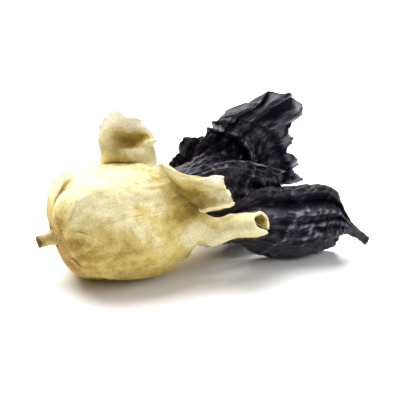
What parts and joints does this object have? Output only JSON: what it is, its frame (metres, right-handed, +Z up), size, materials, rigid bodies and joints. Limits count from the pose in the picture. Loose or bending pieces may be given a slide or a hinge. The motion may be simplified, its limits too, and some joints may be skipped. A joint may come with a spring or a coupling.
{
  "type": "dried hollyhock flower",
  "caption": "Dried hollyhock flower lying on its side: felted cream calyx with curled lobes and dark violet petals shrivelled into pleats.",
  "frame": {"origin": "the flat spot under the calyx that the flower rests on", "axes": "+X along the flower from the cut stalk to the petals, +Y away from the side that shows the curled lobes, +Z up"},
  "size_m": [0.0378, 0.0166, 0.0188],
  "materials": {
    "calyx_felt": "matt felt of short pale hairs over cream to khaki tissue",
    "bract_felt": "matt felt, a little more golden than the calyx",
    "stalk": "dry fibrous stalk, brown and hollow at the cut",
    "stamens": "dry papery tube with mealy anthers",
    "petal": "crumpled papery tissue, blue-black to violet, with a soft sheen on the ridges"
  },
  "bodies": {
    "root": {"pedicel": "stalk", "epicalyx": "bract_felt", "calyx": "calyx_felt", "ovary": "stalk", "stamen_column": "stamens", "petal_1": "petal", "petal_2": "petal", "petal_3": "petal", "petal_4": "petal", "petal_5": "petal"}
  },
  "joints": []
}
